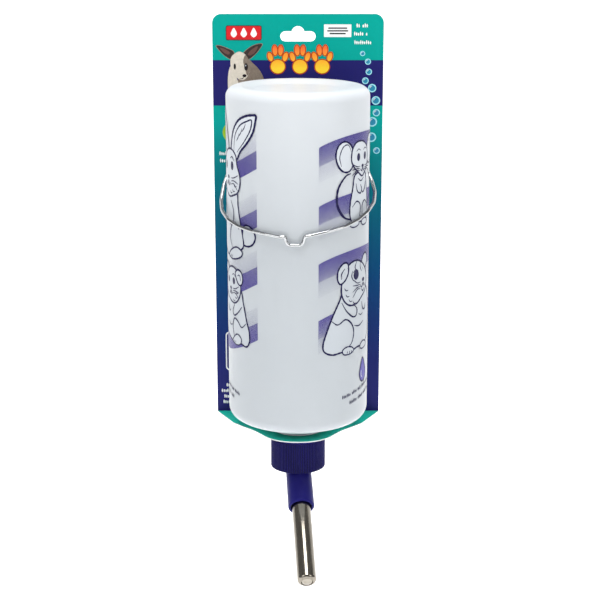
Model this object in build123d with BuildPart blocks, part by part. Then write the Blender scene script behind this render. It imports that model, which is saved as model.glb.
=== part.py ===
"""Hanging water bottle for rabbits: an inverted squeeze bottle, its screw cap with an
inclined ball-valve drinking tube, a wire hanger and the folded card it is sold on.

Millimetres, +Z up, the tube points to -Y. The origin is the centre of the neck's rim.
"""
from build123d import *
from math import cos, radians, sin, tan
import os

# ---------------------------------------------------------------- driving dimensions
# Bottle
bottle_r = 41.25
bottle_top = 224.7
wall = 1.0
shoulder_angle = 21.8
shoulder_edge_r = 7.0
base_edge_r = 6.0
base_ring_r = 32.0
base_ring_edge_r = 2.5
push_up_r = 25.0
push_up_depth = 2.0
push_up_edge_r = 4.0

# Neck finish, 28 mm size
neck_r = 12.6
neck_bore_r = 11.4
neck_foot_r = 14.0
neck_foot_h = 1.4
neck_foot_edge_r = 0.5
neck_rim_edge_r = 0.3
neck_height = 18.9
thread_pitch = 4.23
thread_turns = 1.5
thread_major_r = 13.7
thread_start_z = 3.2
thread_root_overlap = 0.3
thread_root_half = 1.15
thread_crest_half = 0.5

# Cap
cap_bottom = -5.3
cap_top = 15.3
cap_skirt_r = 16.05
cap_collar_r = 16.5
cap_groove_r = 15.85
cap_groove_z = 12.9
cap_groove_h = 0.5
cap_edge_chamfer = 0.4
rib_count = 96
rib_r = 0.36
cap_bore_r = 14.05
cap_floor = -2.1
cap_thread_minor_r = 13.0
cap_well_r = 4.5
cap_well_bottom = -10.0

# Spout: an axis that leaves the centre of the cap's end, down and forward
spout_tilt = 58.0
spout_turn = 4.2
boss_base_r = 7.6
boss_end_r = 7.85
boss_back = -14.0
boss_end = 32.0
boss_end_edge_r = 0.8
boss_trim_below_floor = 0.8
socket_r = 6.4
socket_floor = 12.0
passage_r = 3.6

# Drinking tube and its valve balls
tube_r = 5.55
tube_bore_r = 5.05
tube_start = 13.0
tube_tip = 84.0
tube_lip_r = 3.4
tip_roll_r = 2.1
tube_end_edge_r = 0.15
seal_start = 14.0
seal_end = 29.5
seal_chamfer = 0.4
ball_r = 4.75
ball_gap = 0.05

# Gasket
gasket_t = 2.0
gasket_r = 13.4
gasket_bore_r = 8.0

# Wire hanger
wire_r = 1.0
hook_x = 33.0
hook_front_y = 31.5
hook_back_y = 38.5
hook_top = 197.0
hook_tail = 186.0
hook_bend_r = 3.45
hook_foot_bend_r = 6.0
ring_start_bend_r = 12.0
ring_bend_r = 16.0
ring_end_bend_r = 10.0

# Display card
card_t = 0.6
card_w = 101.6
card_bottom = 14.0
card_top = 261.7
card_front_y = 41.6
card_corner_r = 5.4
hang_slot_w = 21.0
hang_slot_h = 6.0
hang_slot_z = 248.6
hang_bump_r = 3.85
hang_bump_rise = 2.15
flap_tilt = 3.6
flap_hole_r = 14.2
# The flap's right side, as (half width, distance from the fold), and its round nose
flap_side = [(50.8, 1.2), (39.4, 28.5), (27.5, 44.0), (19.6, 57.2)]
flap_nose = 69.2

os.makedirs("parts", exist_ok=True)

# ---------------------------------------------------------------- shared geometry
spout_origin = Vector(0, 0, cap_bottom)
spout_side = Vector(cos(radians(spout_turn)), sin(radians(spout_turn)), 0)
spout_dir = Vector(
    sin(radians(spout_tilt)) * sin(radians(spout_turn)),
    -sin(radians(spout_tilt)) * cos(radians(spout_turn)),
    -cos(radians(spout_tilt)),
)
spout_axis = Axis(spout_origin, spout_dir)
# Across the spout, looking along it, and lengthwise through its axis (local y runs down the spout)
spout_across = Plane(origin=spout_origin, x_dir=spout_side, z_dir=spout_dir)
spout_along = Plane(origin=spout_origin, x_dir=spout_side, z_dir=spout_side.cross(spout_dir))


def helical_ridge(root_r, crest_r, start_z):
    """A trapezoid thread ridge on the Z axis, from its root radius to its crest radius."""
    depth = crest_r - root_r
    with BuildPart() as ridge:
        with BuildLine():
            path = Helix(pitch=thread_pitch, height=thread_pitch * thread_turns, radius=root_r,
                         center=(0, 0, start_z))
        with BuildSketch(Plane(origin=path @ 0, x_dir=(1, 0, 0), z_dir=path % 0)):
            with BuildLine():
                Polyline((0, -thread_root_half), (depth, -thread_crest_half), (depth, thread_crest_half),
                         (0, thread_root_half), close=True)
            make_face()
        sweep(path=path, is_frenet=True)
    return ridge.part


# ---------------------------------------------------------------- bottle
shoulder_slope = tan(radians(shoulder_angle))
shoulder_rise = (bottle_r - neck_foot_r) * shoulder_slope
wall_on_slope = wall / cos(radians(shoulder_angle))
inner_r = bottle_r - wall
inner_neck_top = neck_height + (neck_bore_r - neck_foot_r) * shoulder_slope + wall_on_slope
inner_corner_z = neck_height + (inner_r - neck_foot_r) * shoulder_slope + wall_on_slope

with BuildPart() as bottle:
    with BuildSketch(Plane.XZ):
        with BuildLine():
            outside = FilletPolyline(
                (neck_bore_r, 0),
                (neck_r, 0),
                (neck_r, neck_height - neck_foot_h),
                (neck_foot_r, neck_height),
                (bottle_r, neck_height + shoulder_rise),
                (bottle_r, bottle_top),
                (base_ring_r, bottle_top),
                (push_up_r, bottle_top - push_up_depth),
                (0, bottle_top - push_up_depth),
                radius=[neck_rim_edge_r, neck_foot_edge_r, neck_foot_edge_r, shoulder_edge_r, base_edge_r,
                        base_ring_edge_r, push_up_edge_r],
            )
            inside = FilletPolyline(
                (neck_bore_r, 0),
                (neck_bore_r, inner_neck_top),
                (inner_r, inner_corner_z),
                (inner_r, bottle_top - wall),
                (base_ring_r + wall / 2, bottle_top - wall),
                (push_up_r + wall / 2, bottle_top - push_up_depth - wall),
                (0, bottle_top - push_up_depth - wall),
                radius=[base_ring_edge_r, shoulder_edge_r - wall, base_edge_r - wall,
                        base_ring_edge_r + wall, push_up_edge_r - wall],
            )
            Line(outside @ 1, inside @ 1)
        make_face()
    revolve(axis=Axis.Z)
    add(helical_ridge(neck_r - thread_root_overlap, thread_major_r, thread_start_z))
bottle.part.label = "bottle"

# ---------------------------------------------------------------- cap with its spout boss
with BuildPart() as spout_boss:
    with BuildSketch(spout_along):
        with BuildLine():
            FilletPolyline(
                (0, boss_back),
                (boss_base_r, boss_back),
                (boss_end_r, boss_end),
                (0, boss_end),
                radius=[0, boss_end_edge_r],
            )
            Line((0, boss_end), (0, boss_back))
        make_face()
    revolve(axis=spout_axis)
    split(bisect_by=Plane.XY.offset(cap_floor - boss_trim_below_floor), keep=Keep.BOTTOM)

with BuildPart() as cap:
    with BuildSketch(Plane.XY.offset(cap_bottom)):
        Circle(cap_skirt_r)
        with PolarLocations(cap_skirt_r, rib_count):
            Circle(rib_r)
    extrude(amount=cap_groove_z - cap_bottom)
    with BuildSketch(Plane.XY.offset(cap_groove_z)):
        Circle(cap_groove_r)
    extrude(amount=cap_groove_h)
    with BuildSketch(Plane.XY.offset(cap_groove_z + cap_groove_h)):
        Circle(cap_collar_r)
    extrude(amount=cap_top - cap_groove_z - cap_groove_h)
    chamfer(cap.edges().group_by(Axis.Z)[-1], cap_edge_chamfer)
    add(spout_boss.part)
    with BuildSketch(Plane.XY.offset(cap_floor)):
        Circle(cap_bore_r)
    extrude(amount=cap_top - cap_floor, mode=Mode.SUBTRACT)
    with BuildSketch(Plane.XY.offset(cap_floor)):
        Circle(cap_well_r)
    extrude(amount=cap_well_bottom - cap_floor, mode=Mode.SUBTRACT)
    with BuildSketch(spout_across):
        Circle(passage_r)
    extrude(amount=boss_end, mode=Mode.SUBTRACT)
    with BuildSketch(spout_across.offset(socket_floor)):
        Circle(socket_r)
    extrude(amount=boss_end - socket_floor, mode=Mode.SUBTRACT)
    add(helical_ridge(cap_bore_r + thread_root_overlap, cap_thread_minor_r,
                      thread_start_z + thread_pitch / 2))
cap.part.label = "cap"

# ---------------------------------------------------------------- gasket, in the cap's floor
with BuildPart() as neck_gasket:
    with BuildSketch(Plane.XY.offset(cap_floor)):
        Circle(gasket_r)
        Circle(gasket_bore_r, mode=Mode.SUBTRACT)
    extrude(amount=gasket_t)
neck_gasket.part.label = "neck_gasket"

# ---------------------------------------------------------------- tube seal, in the spout socket
with BuildPart() as tube_seal:
    with BuildSketch(spout_across.offset(seal_start)):
        Circle(socket_r)
        Circle(tube_r, mode=Mode.SUBTRACT)
    extrude(amount=seal_end - seal_start)
    chamfer(tube_seal.edges().group_by(spout_axis)[-1].sort_by(SortBy.LENGTH)[-1], seal_chamfer)
tube_seal.part.label = "tube_seal"

# ---------------------------------------------------------------- drinking tube, tip rolled in
tube_wall = tube_r - tube_bore_r
with BuildPart() as drinking_tube:
    with BuildSketch(spout_along):
        with BuildLine():
            outer = FilletPolyline(
                (tube_bore_r, tube_start),
                (tube_r, tube_start),
                (tube_r, tube_tip),
                (tube_lip_r, tube_tip),
                radius=[tube_end_edge_r, tip_roll_r],
            )
            inner = FilletPolyline(
                (tube_bore_r, tube_start),
                (tube_bore_r, tube_tip - tube_wall),
                (tube_lip_r, tube_tip - tube_wall),
                radius=[tip_roll_r - tube_wall],
            )
            Line(outer @ 1, inner @ 1)
        make_face()
    revolve(axis=spout_axis)
drinking_tube.part.label = "drinking_tube"

# ---------------------------------------------------------------- valve balls, one behind the other
lip_contact = tube_tip - tube_wall
lower_ball_at = lip_contact - (ball_r**2 - tube_lip_r**2) ** 0.5 - ball_gap
upper_ball_at = lower_ball_at - 2 * ball_r - ball_gap

with BuildPart() as lower_ball:
    with Locations(Location(spout_origin + spout_dir * lower_ball_at)):
        Sphere(ball_r)
lower_ball.part.label = "lower_ball"

with BuildPart() as upper_ball:
    with Locations(Location(spout_origin + spout_dir * upper_ball_at)):
        Sphere(ball_r)
upper_ball.part.label = "upper_ball"

# ---------------------------------------------------------------- wire hanger
# The ring, from beside the front kink round to the back: degrees from the front,
# distance from the bottle's axis, and height on the left and right sides
ring = [
    (24, 43.0, 146.5, 148.2),
    (38, 43.0, 147.4, 149.8),
    (52, 43.2, 148.6, 152.2),
    (66, 43.7, 150.6, 155.4),
    (80, 44.4, 153.6, 158.6),
    (93, 44.8, 157.6, 162.3),
    (105, 44.9, 165.2, 167.4),
    (116, 44.9, 173.0, 173.6),
    (126, 45.2, 180.4, 180.4),
]
kink_front_y = -42.9
kink = [(-9.8, 145.7), (-7.0, 145.8), (-6.2, 141.1), (2.6, 140.9), (3.8, 146.0), (6.8, 146.4)]
kink_bend = [1.5, 1.1, 3.0, 3.0, 1.1, 1.5]


def ring_point(side, row):
    angle, distance, left_z, right_z = row
    height = left_z if side < 0 else right_z
    return (side * distance * sin(radians(angle)), -distance * cos(radians(angle)), height)


def hook_points(side):
    """From the ring's rear end, up the hook's front leg, over, and down to its tail."""
    x = side * hook_x
    return [
        (x, hook_front_y, hook_tail + 1),
        (x, hook_front_y, hook_top),
        (x, hook_back_y, hook_top),
        (x, hook_back_y, hook_tail),
    ]


left_half = [ring_point(-1, row) for row in ring] + hook_points(-1)
right_half = [ring_point(1, row) for row in ring] + hook_points(1)
kink_points = [(x, kink_front_y, z) for x, z in kink]
wire_points = left_half[::-1] + kink_points + right_half
ring_bends = [ring_start_bend_r] + [ring_bend_r] * (len(ring) - 2) + [ring_end_bend_r]
half_bends = ring_bends + [hook_foot_bend_r, hook_bend_r, hook_bend_r]
wire_bends = half_bends[::-1] + kink_bend + half_bends

with BuildPart() as wire_hanger:
    with BuildLine():
        wire_path = FilletPolyline(*wire_points, radius=wire_bends)
    with BuildSketch(Plane(origin=wire_path @ 0, z_dir=wire_path % 0)):
        Circle(wire_r)
    sweep(path=wire_path)
wire_hanger.part.label = "wire_hanger"

# ---------------------------------------------------------------- display card
card_back_y = card_front_y + card_t
flap_plane = Plane(
    origin=(0, card_back_y, card_bottom),
    x_dir=(1, 0, 0),
    z_dir=(0, sin(radians(flap_tilt)), cos(radians(flap_tilt))),
)

corner_drop = flap_side[0][1]
nose_x, nose_start = flap_side[-1]

with BuildPart() as display_card:
    with BuildSketch(Plane.XZ.offset(-card_front_y)) as panel:
        with Locations((0, (card_bottom + card_top) / 2)):
            Rectangle(card_w, card_top - card_bottom)
        fillet(panel.vertices().group_by(Axis.Z)[-1], card_corner_r)
        with Locations((0, hang_slot_z)):
            SlotOverall(hang_slot_w, hang_slot_h, mode=Mode.SUBTRACT)
        with Locations((0, hang_slot_z + hang_bump_rise)):
            Circle(hang_bump_r, mode=Mode.SUBTRACT)
    extrude(amount=-card_t)
    with BuildSketch(flap_plane):
        with BuildLine():
            Polyline(*[(x, -reach) for x, reach in flap_side])
            ThreePointArc((nose_x, -nose_start), (0, -flap_nose), (-nose_x, -nose_start))
            Polyline(*[(-x, -reach) for x, reach in reversed(flap_side)])
            Polyline((-card_w / 2, -corner_drop), (-card_w / 2, 0), (card_w / 2, 0), (card_w / 2, -corner_drop))
        make_face()
        with Locations((0, -card_back_y / cos(radians(flap_tilt)))):
            Circle(flap_hole_r, mode=Mode.SUBTRACT)
    extrude(amount=card_t)
display_card.part.label = "display_card"

for piece in (bottle, cap, neck_gasket, tube_seal, drinking_tube, lower_ball, upper_ball,
              wire_hanger, display_card):
    export_step(piece.part, f"parts/{piece.part.label}.step")
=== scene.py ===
"""Looks of the hanging rabbit water bottle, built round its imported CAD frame. Metres, +Z up, -Y is the front."""
from math import cos, pi, radians, sin, tan

import bpy
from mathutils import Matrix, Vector
from mathutils.geometry import delaunay_2d_cdt


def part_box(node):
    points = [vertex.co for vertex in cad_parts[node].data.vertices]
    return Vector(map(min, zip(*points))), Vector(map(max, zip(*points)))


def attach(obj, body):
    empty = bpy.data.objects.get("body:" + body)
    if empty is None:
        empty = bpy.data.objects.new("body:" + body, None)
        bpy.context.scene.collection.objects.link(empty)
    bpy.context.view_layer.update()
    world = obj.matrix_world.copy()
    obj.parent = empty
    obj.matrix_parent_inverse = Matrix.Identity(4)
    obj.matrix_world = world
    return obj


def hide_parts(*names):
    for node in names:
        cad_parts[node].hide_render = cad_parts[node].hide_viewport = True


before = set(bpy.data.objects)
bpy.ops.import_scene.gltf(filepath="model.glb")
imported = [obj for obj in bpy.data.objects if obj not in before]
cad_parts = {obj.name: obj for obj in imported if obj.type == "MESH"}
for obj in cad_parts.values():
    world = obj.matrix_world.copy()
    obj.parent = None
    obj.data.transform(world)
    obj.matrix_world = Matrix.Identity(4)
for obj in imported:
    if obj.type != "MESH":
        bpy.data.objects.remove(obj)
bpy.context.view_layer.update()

MM = 0.001

# ---------------------------------------------------------------- places taken from the frame
bottle_lo, bottle_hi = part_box("bottle")
card_lo, card_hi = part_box("display_card")
bottle_r = (bottle_hi.x - bottle_lo.x) / 2 / MM
bottle_top = bottle_hi.z / MM
card_half_w = (card_hi.x - card_lo.x) / 2 / MM
card_top = card_hi.z / MM
card_bottom = card_lo.z / MM
card_back_y = card_hi.y / MM
card_t = 0.6
card_front_y = card_back_y - card_t

# The cap's grip ribs, and the level of its closed end, above which they stand
RIB_ROOT_R = 16.05
RIB_CREST_R = 16.4
CAP_END_Z = -5.2
# Painted shade and light on the cap: how light its plastic is made between the ribs, on them and where it is smooth
GROOVE_PAINTED_SHADE = 0.08
CREST_PAINTED_LIGHT = 0.60
SMOOTH_PAINTED_LIGHT = 0.72

# The part of the bottle's height over which painted light makes its plastic paler towards the top
PAINTED_LIGHT_LOW_Z = 130
PAINTED_LIGHT_TOP_Z = 212

# Print that the materials and the drawings share: the card's indigo band, its paw prints, and the halftone dots
BAND_LOW_Z = 207.4
BAND_TOP_Z = 234.3
PAW_Z = 235.0
DOT_PITCH = 0.75

# ---------------------------------------------------------------- mesh helpers (millimetres in, metres out)


def add_mesh(name, points, faces, material, smooth=True):
    """A mesh object from points in millimetres."""
    mesh = bpy.data.meshes.new(name)
    mesh.from_pydata([(x * MM, y * MM, z * MM) for x, y, z in points], [], faces)
    mesh.validate()
    for polygon in mesh.polygons:
        polygon.use_smooth = smooth
    mesh.materials.append(material)
    piece = bpy.data.objects.new(name, mesh)
    bpy.context.scene.collection.objects.link(piece)
    return piece


def rounded(points, radii, steps=8):
    """An open outline whose inner corners are turned into arcs of the given radii."""
    outline = [Vector(points[0])]
    for before, corner, after, radius in zip(points, points[1:], points[2:], radii):
        before, corner, after = Vector(before), Vector(corner), Vector(after)
        a = (before - corner).normalized()
        b = (after - corner).normalized()
        half = a.angle(b) / 2
        reach = radius / tan(half)
        centre = corner + (a + b).normalized() * (radius / sin(half))
        start = corner + a * reach - centre
        end = corner + b * reach - centre
        sweep = start.angle(end)
        for i in range(steps + 1):
            t = i / steps
            outline.append(centre + (start * sin((1 - t) * sweep) + end * sin(t * sweep)) / sin(sweep))
    outline.append(Vector(points[-1]))
    return outline


def divide(outline, longest):
    """Adds points so that no run of an outline is longer than given."""
    result = [outline[0]]
    for a, b in zip(outline, outline[1:]):
        count = max(1, int((b - a).length / longest + 0.999))
        result += [a.lerp(b, (i + 1) / count) for i in range(count)]
    return result


def revolve(name, outline, segments, material, bulge):
    """Turns an outline of (radius, height) about the vertical axis. bulge adds to the radius at each point."""
    points, rings = [], []
    for radius, height in outline:
        if radius < 1e-6:
            rings.append([len(points)] * segments)
            points.append((0, 0, height))
            continue
        rings.append(list(range(len(points), len(points) + segments)))
        for i in range(segments):
            angle = 2 * pi * i / segments
            r = radius + bulge(angle, radius, height)
            points.append((r * sin(angle), -r * cos(angle), height))
    faces = []
    for low, high in zip(rings, rings[1:]):
        for i in range(segments):
            j = (i + 1) % segments
            face = [low[i], low[j], high[j], high[i]]
            face = [v for k, v in enumerate(face) if v not in face[:k]]
            if len(face) > 2:
                faces.append(face)
    return add_mesh(name, points, faces, material)


def arc(cx, cy, radius, start, end, steps=12):
    """Points along an arc, from one angle to another in degrees."""
    angles = (radians(start + (end - start) * i / steps) for i in range(steps + 1))
    return [Vector((cx + radius * cos(a), cy + radius * sin(a))) for a in angles]


# ---------------------------------------------------------------- material helpers


class Nodes:
    """A small wrapper that makes a node material easier to read."""

    def __init__(self, name):
        self.material = bpy.data.materials.new(name)
        self.material.use_nodes = True
        self.tree = self.material.node_tree
        self.tree.nodes.clear()
        self.output = self.tree.nodes.new("ShaderNodeOutputMaterial")
        self.shader = self.tree.nodes.new("ShaderNodeBsdfPrincipled")
        self.tree.links.new(self.shader.outputs[0], self.output.inputs["Surface"])
        self.position = self.tree.nodes.new("ShaderNodeTexCoord").outputs["Object"]

    def set(self, **values):
        """Sets constants on the shader's own sockets."""
        for key, value in values.items():
            self.shader.inputs[key.replace("_", " ")].default_value = value

    def link(self, source, target):
        self.tree.links.new(source, target)

    def feed(self, socket, value):
        """Links a socket to another one, or sets it to a constant."""
        if isinstance(value, bpy.types.NodeSocket):
            self.link(value, socket)
        else:
            socket.default_value = value

    def add(self, kind, **inputs):
        node = self.tree.nodes.new(kind)
        for key, value in inputs.items():
            self.feed(node.inputs[key.replace("_", " ")], value)
        return node

    def noise(self, scale, detail=4, roughness=0.5, vector=None):
        node = self.add("ShaderNodeTexNoise", Scale=scale, Detail=detail, Roughness=roughness)
        self.link(vector or self.position, node.inputs["Vector"])
        return node.outputs["Fac"]

    def math(self, operation, a, b=0.0, clamp=False):
        node = self.tree.nodes.new("ShaderNodeMath")
        node.operation = operation
        node.use_clamp = clamp
        for socket, value in zip(node.inputs, (a, b)):
            self.feed(socket, value)
        return node.outputs[0]

    def ramp(self, factor, stops, interpolation="LINEAR"):
        node = self.add("ShaderNodeValToRGB", Fac=factor)
        node.color_ramp.interpolation = interpolation
        elements = node.color_ramp.elements
        while len(elements) < len(stops):
            elements.new(0.5)
        for element, (place, color) in zip(elements, stops):
            element.position = place
            element.color = (*color, 1)
        return node.outputs["Color"]

    def range(self, value, from_low, from_high, to_low, to_high):
        node = self.add("ShaderNodeMapRange", Value=value)
        limits = {"From Min": from_low, "From Max": from_high, "To Min": to_low, "To Max": to_high}
        for key, number in limits.items():
            node.inputs[key].default_value = number
        return node.outputs["Result"]

    def mix(self, factor, a, b, blend="MIX"):
        """Blends two colours."""
        node = self.tree.nodes.new("ShaderNodeMix")
        node.data_type = "RGBA"
        node.blend_type = blend
        for place, value in (("Factor", factor), (6, a), (7, b)):
            self.feed(node.inputs[place], value)
        return node.outputs[2]

    def height(self):
        return self.add("ShaderNodeSeparateXYZ", Vector=self.position).outputs["Z"]

    def stretch(self, scale):
        return self.add("ShaderNodeMapping", Vector=self.position, Scale=scale).outputs["Vector"]

    def bump(self, height, strength, distance):
        node = self.add("ShaderNodeBump", Height=height, Strength=strength, Distance=distance)
        self.link(node.outputs["Normal"], self.shader.inputs["Normal"])

    def color(self, socket):
        self.link(socket, self.shader.inputs["Base Color"])

    def roughness(self, socket):
        self.link(socket, self.shader.inputs["Roughness"])


def srgb(r, g, b):
    """Linear colour from 0-255 display values."""
    shares = (c / 255 for c in (r, g, b))
    return tuple(c / 12.92 if c <= 0.0404 else ((c + 0.055) / 1.055) ** 2.4 for c in shares)


def shade(color, factor):
    return tuple(min(1.0, c * factor) for c in color)


def milky_white_with_painted_light(m):
    """Cloudy white with painted light that makes it paler towards the top, where the bottle's base hangs."""
    # Painted light: the white gets paler up the bottle's height
    painted_top_light = m.range(m.height(), PAINTED_LIGHT_LOW_Z * MM, PAINTED_LIGHT_TOP_Z * MM, 0.0, 0.7)
    cloud = m.math("MULTIPLY", m.noise(18, 3, 0.5), 0.3)
    m.color(m.ramp(m.math("ADD", painted_top_light, cloud), [(0.08, srgb(179, 185, 191)), (0.92, srgb(205, 210, 216))]))


def bottle_plastic():
    m = Nodes("bottle_plastic")
    m.set(Subsurface_Weight=0.35, Subsurface_Scale=0.006, Specular_IOR_Level=0.25)
    m.shader.inputs["Subsurface Radius"].default_value = (1.0, 1.0, 1.1)
    # The bottle's white carries painted light towards the top
    milky_white_with_painted_light(m)
    m.roughness(m.range(m.noise(60, 5, 0.6), 0.3, 0.7, 0.30, 0.40))
    m.bump(m.noise(900, 3, 0.5), 0.05, 0.0004)
    return m.material


def cap_plastic():
    """Indigo plastic with painted shade between the grip ribs, painted light on their crests and painted light on the
    smooth spout.
    """
    m = Nodes("cap_plastic")
    m.set(Specular_IOR_Level=0.09)
    split = m.add("ShaderNodeSeparateXYZ", Vector=m.position)
    x, y, z = (split.outputs[axis] for axis in "XYZ")
    from_axis = m.math("SQRT", m.math("ADD", m.math("MULTIPLY", x, x), m.math("MULTIPLY", y, y)))
    # Painted shade in the grooves between the ribs, painted light on their crests
    ribs = m.range(from_axis, RIB_ROOT_R * MM, RIB_CREST_R * MM, GROOVE_PAINTED_SHADE, CREST_PAINTED_LIGHT)
    # Painted light where the cap is smooth: on the spout below its closed end, and nearer the axis than the ribs'
    # roots
    below = m.math("LESS_THAN", z, CAP_END_Z * MM)
    smooth = m.math("MAXIMUM", below, m.math("LESS_THAN", from_axis, 0.99 * RIB_ROOT_R * MM))
    ribs = m.math("MULTIPLY", ribs, m.math("SUBTRACT", 1.0, smooth))
    tone = m.math("ADD", ribs, m.math("MULTIPLY", smooth, SMOOTH_PAINTED_LIGHT))
    cloud = m.math("MULTIPLY", m.math("SUBTRACT", m.noise(70, 4, 0.6), 0.5), 0.3)
    m.color(m.ramp(m.math("ADD", tone, cloud), [(0.0, srgb(4, 3, 42)), (0.4, srgb(13, 10, 70)),
                                                (0.75, srgb(29, 27, 104)), (1.0, srgb(38, 36, 122))]))
    m.roughness(m.range(m.noise(300, 4, 0.6), 0.3, 0.7, 0.30, 0.44))
    m.bump(m.noise(2500, 3, 0.5), 0.08, 0.0002)
    return m.material


def rubber():
    m = Nodes("seal_rubber")
    m.color(m.ramp(m.noise(400, 4, 0.6), [(0.3, (0.012, 0.012, 0.013)), (0.7, (0.03, 0.03, 0.032))]))
    m.roughness(m.range(m.noise(900, 4, 0.6), 0.3, 0.7, 0.6, 0.8))
    m.bump(m.noise(3000, 3, 0.6), 0.2, 0.0002)
    return m.material


def tube_steel(name, low, high, grain):
    """Polished steel with fine drawing lines along the given stretch."""
    m = Nodes(name)
    m.set(Metallic=1.0)
    lines = m.noise(1.0, 4, 0.6, m.stretch(grain))
    m.color(m.ramp(lines, [(0.3, low), (0.7, high)]))
    m.roughness(m.range(lines, 0.3, 0.7, 0.10, 0.20))
    m.bump(lines, 0.04, 0.0001)
    return m.material


def paper(name, color):
    m = Nodes(name)
    m.color(m.ramp(m.noise(500, 6, 0.7), [(0.3, shade(color, 0.92)), (0.7, color)]))
    m.set(Roughness=0.75)
    m.bump(m.noise(2500, 4, 0.6), 0.15, 0.0001)
    return m.material


def ink(name, color, roughness=0.4, spread=0.12):
    """A printed ink film with slight unevenness."""
    m = Nodes(name)
    m.set(Specular_IOR_Level=0.15)
    m.color(m.ramp(m.noise(700, 5, 0.65), [(0.25, shade(color, 1 - spread)), (0.75, shade(color, 1 + spread))]))
    m.roughness(m.range(m.noise(400, 3, 0.5), 0.3, 0.7, roughness - 0.05, roughness + 0.08))
    m.bump(m.noise(3000, 3, 0.5), 0.05, 0.00005)
    return m.material


def bare_plastic():
    """The bottle's colour, with its painted light towards the top, where a drawing leaves it unprinted."""
    m = Nodes("bare_plastic")
    m.set(Specular_IOR_Level=0.15, Roughness=0.4)
    milky_white_with_painted_light(m)
    m.bump(m.noise(900, 3, 0.5), 0.05, 0.0004)
    return m.material


def paw_ink():
    """Orange at the top of the paw prints, running down to yellow."""
    m = Nodes("paw_ink")
    height = m.range(m.height(), (PAW_Z - 7) * MM, (PAW_Z + 8) * MM, 0, 1)
    uneven = m.math("ADD", height, m.math("MULTIPLY", m.math("SUBTRACT", m.noise(500, 4, 0.6), 0.5), 0.25))
    m.color(m.ramp(uneven, [(0.1, srgb(246, 206, 34)), (0.5, srgb(244, 160, 26)), (0.95, srgb(228, 92, 24))]))
    m.set(Roughness=0.4)
    m.bump(m.noise(3000, 3, 0.5), 0.05, 0.00005)
    return m.material


def card_front():
    """Gradient print: teal, an indigo band, then teal running down through blue to indigo."""
    m = Nodes("card_front")
    height = m.range(m.height(), card_bottom * MM, card_top * MM, 0, 1)

    def at(z):
        return (z - card_bottom) / (card_top - card_bottom)

    gradient = m.ramp(height, [
        (0.0, srgb(40, 38, 104)),
        (at(48), srgb(32, 40, 106)),
        (at(74), srgb(22, 52, 111)),
        (at(100), srgb(8, 68, 118)),
        (at(125), srgb(4, 84, 119)),
        (at(150), srgb(4, 102, 120)),
        (at(175), srgb(4, 122, 126)),
        (at(199), srgb(2, 154, 146)),
        (at(206), srgb(2, 154, 142)),
    ])
    band = m.ramp(height, [(0.0, (0, 0, 0)), (at(BAND_LOW_Z), (1, 1, 1)), (at(BAND_TOP_Z), (0, 0, 0))], "CONSTANT")
    banded = m.mix(band, gradient, (*srgb(33, 32, 98), 1))
    specks = m.ramp(m.noise(600, 5, 0.6), [(0.3, (0.94, 0.94, 0.94)), (0.7, (1, 1, 1))])
    m.color(m.mix(1.0, banded, specks, "MULTIPLY"))
    m.set(Specular_IOR_Level=0.06)
    m.roughness(m.range(m.noise(300, 4, 0.5), 0.3, 0.7, 0.35, 0.5))
    m.bump(m.noise(1800, 4, 0.6), 0.05, 0.00008)
    return m.material


def halftone():
    """Violet ink printed in dots. The mesh's ink value sets how much of the surface they cover."""
    m = Nodes("halftone_ink")
    density = m.add("ShaderNodeAttribute")
    density.attribute_name = "ink"
    uv = m.add("ShaderNodeTexCoord").outputs["UV"]
    turned = m.add("ShaderNodeMapping", Vector=uv, Rotation=(0, 0, radians(45)), Scale=(2 * pi / DOT_PITCH,) * 3)
    split = m.add("ShaderNodeSeparateXYZ", Vector=turned.outputs["Vector"])
    wave = m.math("MULTIPLY", m.math("COSINE", split.outputs["X"]), m.math("COSINE", split.outputs["Y"]))
    level = m.math("ADD", m.math("MULTIPLY", wave, 0.5), 0.5)
    inked = m.math("ADD", density.outputs["Fac"], 0.06)
    cover = m.math("MULTIPLY", m.math("SUBTRACT", inked, level), 6.0, True)
    m.color(m.ramp(m.noise(500, 4, 0.6), [(0.3, srgb(50, 38, 124)), (0.7, srgb(64, 52, 138))]))
    m.set(Roughness=0.38)
    clear = m.tree.nodes.new("ShaderNodeBsdfTransparent")
    blend = m.tree.nodes.new("ShaderNodeMixShader")
    m.link(m.math("MULTIPLY", cover, 0.95), blend.inputs[0])
    m.link(clear.outputs[0], blend.inputs[1])
    m.link(m.shader.outputs[0], blend.inputs[2])
    m.link(blend.outputs[0], m.output.inputs["Surface"])
    return m.material


PLASTIC = bottle_plastic()
CAP = cap_plastic()
RUBBER = rubber()
TUBE = tube_steel("tube_steel", srgb(128, 122, 112), srgb(148, 142, 132), (900, 60, 60))
BALL = tube_steel("ball_steel", srgb(150, 144, 134), srgb(172, 166, 156), (200, 200, 200))
WIRE = tube_steel("wire_steel", srgb(166, 168, 170), srgb(186, 188, 190), (700, 700, 700))
CARD_FRONT = card_front()
CARD_WHITE = paper("card_white", srgb(236, 238, 236))
CARD_BACK = paper("card_back", srgb(206, 204, 196))
FLAP_TEAL = ink("flap_teal", srgb(34, 196, 172), 0.4, 0.05)
INDIGO_INK = ink("indigo_ink", srgb(26, 22, 66))
BARE = bare_plastic()
WHITE_FILL = ink("white_fill", srgb(199, 203, 210), 0.38, 0.02)
HALFTONE = halftone()
HALF_VIOLET = ink("half_violet", srgb(88, 82, 160))
FUR_PALE = ink("fur_pale", srgb(206, 198, 184), 0.4, 0.14)
FUR_BROWN = ink("fur_brown", srgb(124, 112, 100), 0.4, 0.25)
FUR_DARK = ink("fur_dark", srgb(52, 44, 42), 0.4, 0.25)
EAR_PINK = ink("ear_pink", srgb(96, 68, 62), 0.4, 0.15)
EYE_DARK = ink("eye_dark", srgb(28, 22, 26))
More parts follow.
